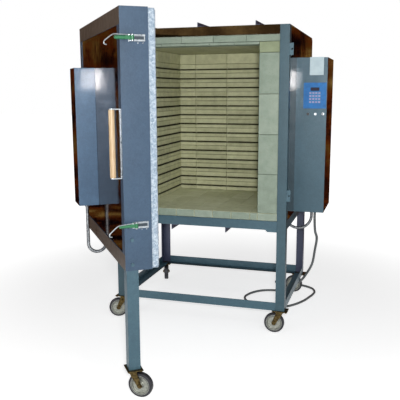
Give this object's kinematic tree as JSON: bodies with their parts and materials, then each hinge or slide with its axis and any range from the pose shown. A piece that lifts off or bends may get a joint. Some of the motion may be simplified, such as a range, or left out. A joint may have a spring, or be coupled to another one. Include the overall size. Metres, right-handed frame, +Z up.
{
  "type": "bead annealing kiln",
  "caption": "Tall front-loading electric annealing kiln, brick-lined and grooved for elements, on an angle-iron stand with swivel casters and a door that rolls on its own caster.",
  "frame": {"origin": "on the floor, below the middle of the footprint of the four cabinet legs", "axes": "+Z up, the chamber mouth and the door face -Y, the control box is on the +X side; the door stands open at rest, as in the picture"},
  "size_m": [1.3936, 2.1169, 1.822],
  "materials": {
    "hammertone_steel": "hammered blue-grey paint",
    "polished_sheet": "polished dark brown sheet",
    "pan_sheet": "mill finish",
    "insulating_brick": "matt insulating firebrick",
    "pale_brick": "matt insulating firebrick",
    "backup_board": "mineral board",
    "fibre": "white ceramic fibre",
    "element_wire": "oxidised wire",
    "controller_blue": "satin",
    "display_window": "gloss",
    "keypad_film": "satin film",
    "plated_steel": "zinc plated",
    "lever_green": "dipped grip",
    "conduit_grey": "flexible metal conduit",
    "gland_black": "matt",
    "cord_jacket": "grey jacket",
    "grip_wood": "plain turned wood",
    "caster_zinc": "yellow zinc",
    "caster_tyre": "dark tyre on a grey core"
  },
  "bodies": {
    "kiln": {"post_left": "hammertone_steel", "post_right": "hammertone_steel", "rear_legs": "hammertone_steel", "stretchers": "hammertone_steel", "base_frame": "hammertone_steel", "bearers": "hammertone_steel", "floor_pan": "pan_sheet", "side_panel_left": "polished_sheet", "side_panel_right": "polished_sheet", "back_panel": "polished_sheet", "roof_panel": "polished_sheet", "header": "polished_sheet", "roof_stiffeners": "hammertone_steel", "brick_floor": "insulating_brick", "brick_left": "insulating_brick", "brick_right": "insulating_brick", "brick_back": "insulating_brick", "brick_roof": "insulating_brick", "jambs": "pale_brick", "lintel": "pale_brick", "backup_board": "backup_board", "elements": "element_wire", "keepers": "hammertone_steel", "hinge_leaves": "hammertone_steel", "control_box": "hammertone_steel", "controller": "controller_blue", "display": "display_window", "keypad": "keypad_film", "box_fittings": "plated_steel", "conduit": "conduit_grey", "cord_gland": "gland_black", "power_cord": "cord_jacket", "plug": "gland_black", "caster_plates": "caster_zinc"},
    "door": {"door_shell": "hammertone_steel", "door_panel": "polished_sheet", "door_fibre": "fibre", "door_box": "hammertone_steel", "door_conduit": "conduit_grey", "door_hinges": "hammertone_steel", "grip": "grip_wood", "grip_bracket": "plated_steel", "latch_bases": "plated_steel", "door_leg": "hammertone_steel", "door_caster_plate": "caster_zinc"},
    "latch_lever_upper": {"latch_lever_upper": "lever_green"},
    "latch_hook_upper": {"latch_hook_upper": "plated_steel"},
    "latch_lever_lower": {"latch_lever_lower": "lever_green"},
    "latch_hook_lower": {"latch_hook_lower": "plated_steel"},
    "toggle": {"toggle": "plated_steel"},
    "caster_fr": {"fork_fr": "caster_zinc"},
    "wheel_fr": {"wheel_fr": "caster_tyre"},
    "caster_fl": {"fork_fl": "caster_zinc"},
    "wheel_fl": {"wheel_fl": "caster_tyre"},
    "caster_br": {"fork_br": "caster_zinc"},
    "wheel_br": {"wheel_br": "caster_tyre"},
    "caster_bl": {"fork_bl": "caster_zinc"},
    "wheel_bl": {"wheel_bl": "caster_tyre"},
    "caster_door": {"fork_door": "caster_zinc"},
    "wheel_door": {"wheel_door": "caster_tyre"}
  },
  "joints": [
    {"name": "door_swing", "type": "hinge", "parent": "kiln", "child": "door", "pos_m": [-0.572, -0.432, 0.82], "axis": [0, 0, 1], "range_deg": [-70, 53.4]},
    {"name": "latch_lever_upper_swing", "type": "hinge", "parent": "door", "child": "latch_lever_upper", "pos_m": [0.01367, -1.39587, 1.661], "axis": [0, 0, 1], "range_deg": [0, 90]},
    {"name": "latch_hook_upper_swing", "type": "hinge", "parent": "latch_lever_upper", "child": "latch_hook_upper", "pos_m": [0.00162, -1.40481, 1.661], "axis": [0, 0, 1], "range_deg": [-30, 70]},
    {"name": "latch_lever_lower_swing", "type": "hinge", "parent": "door", "child": "latch_lever_lower", "pos_m": [0.01367, -1.39587, 0.839], "axis": [0, 0, 1], "range_deg": [0, 90]},
    {"name": "latch_hook_lower_swing", "type": "hinge", "parent": "latch_lever_lower", "child": "latch_hook_lower", "pos_m": [0.00162, -1.40481, 0.839], "axis": [0, 0, 1], "range_deg": [-30, 70]},
    {"name": "toggle_throw", "type": "hinge", "parent": "kiln", "child": "toggle", "pos_m": [0.697, -0.1427, 1.296], "axis": [1, 0, 0], "range_deg": [-30, 0]},
    {"name": "swivel_fr", "type": "hinge", "parent": "kiln", "child": "caster_fr", "pos_m": [0.508, -0.397, 0.142], "axis": [0, 0, 1], "continuous": true},
    {"name": "spin_fr", "type": "hinge", "parent": "caster_fr", "child": "wheel_fr", "pos_m": [0.472, -0.397, 0.0605], "axis": [0, -1, 0], "continuous": true},
    {"name": "swivel_fl", "type": "hinge", "parent": "kiln", "child": "caster_fl", "pos_m": [-0.508, -0.397, 0.142], "axis": [0, 0, 1], "continuous": true},
    {"name": "spin_fl", "type": "hinge", "parent": "caster_fl", "child": "wheel_fl", "pos_m": [-0.54183, -0.40931, 0.0605], "axis": [0.342, -0.9397, 0], "continuous": true},
    {"name": "swivel_br", "type": "hinge", "parent": "kiln", "child": "caster_br", "pos_m": [0.508, 0.397, 0.142], "axis": [0, 0, 1], "continuous": true},
    {"name": "spin_br", "type": "hinge", "parent": "caster_br", "child": "wheel_br", "pos_m": [0.472, 0.397, 0.0605], "axis": [0, -1, 0], "continuous": true},
    {"name": "swivel_bl", "type": "hinge", "parent": "kiln", "child": "caster_bl", "pos_m": [-0.508, 0.397, 0.142], "axis": [0, 0, 1], "continuous": true},
    {"name": "spin_bl", "type": "hinge", "parent": "caster_bl", "child": "wheel_bl", "pos_m": [-0.52031, 0.43083, 0.0605], "axis": [-0.9397, -0.342, 0], "continuous": true},
    {"name": "swivel_door", "type": "hinge", "parent": "door", "child": "caster_door", "pos_m": [-0.02937, -1.36929, 0.142], "axis": [0, 0, 1], "continuous": true},
    {"name": "spin_door", "type": "hinge", "parent": "caster_door", "child": "wheel_door", "pos_m": [0.00663, -1.36929, 0.0605], "axis": [0, 1, 0], "continuous": true}
  ]
}
